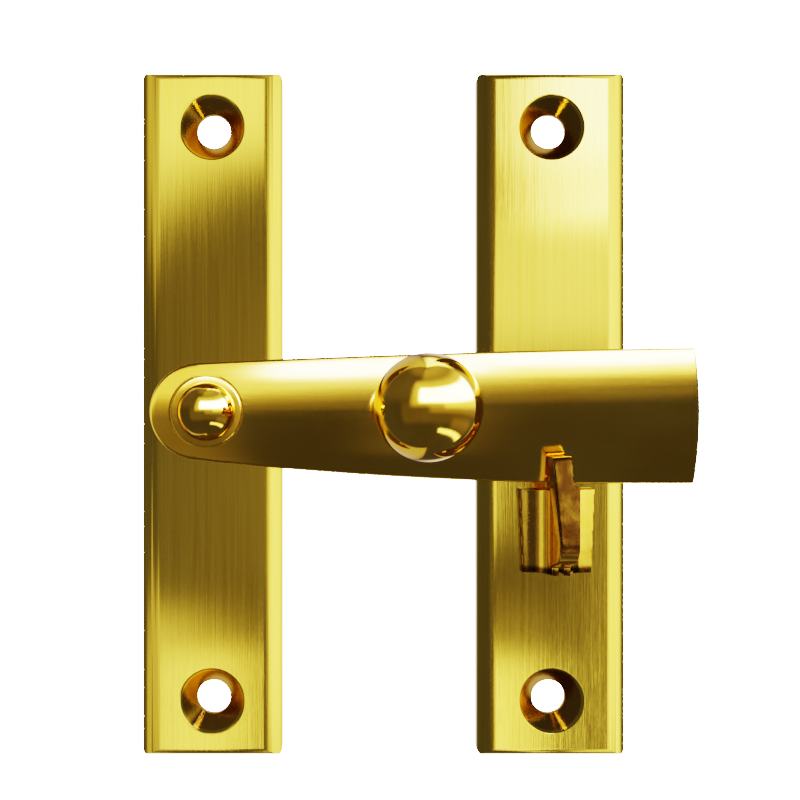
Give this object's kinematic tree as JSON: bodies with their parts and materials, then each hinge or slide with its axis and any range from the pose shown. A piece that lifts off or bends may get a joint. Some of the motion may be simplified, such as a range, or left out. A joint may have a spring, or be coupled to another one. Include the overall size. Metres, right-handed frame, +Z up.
{
  "type": "throw-over bar latch",
  "caption": "Brass throw-over bar latch: a tapered bar pivots on one narrow screw plate, is lifted by a ball knob and drops into a hook on a matching keeper plate.",
  "frame": {"origin": "middle of the pivot plate's back face, midway between its two screw holes", "axes": "+Y into the leaf the plates are screwed to, so the fronts face -Y; +X along the latched bar from the pivot towards the keeper; +Z up"},
  "size_m": [0.0793, 0.0238, 0.1],
  "materials": {
    "satin_brass": "satin, brushed lengthwise",
    "bar_brass": "polished over faint lengthwise brushing",
    "polished_brass": "mirror polished",
    "cast_brass": "polished casting",
    "plain_brass": "dull, unpolished",
    "spring_bronze": "rolled phosphor bronze strip"
  },
  "bodies": {
    "pivot_plate_group": {"pivot_plate": "satin_brass", "pivot_pin": "polished_brass", "head_washer": "polished_brass", "spacer_washer": "plain_brass", "spring_washer": "spring_bronze"},
    "bar_group": {"latch_bar": "bar_brass", "knob_ball": "polished_brass", "knob_screw": "plain_brass"},
    "keeper_group": {"keeper_plate": "satin_brass", "keeper_hook": "cast_brass", "hook_rivets": "plain_brass"}
  },
  "joints": [
    {"name": "bar_swing", "type": "hinge", "parent": "pivot_plate_group", "child": "bar_group", "pos_m": [0, 0, 0.0004], "axis": [0, -1, 0], "range_deg": [0, 320]},
    {"name": "keeper_travel", "type": "slide", "parent": "pivot_plate_group", "child": "keeper_group", "axis": [1, 0, 0], "range_m": [0, 0.04]}
  ]
}
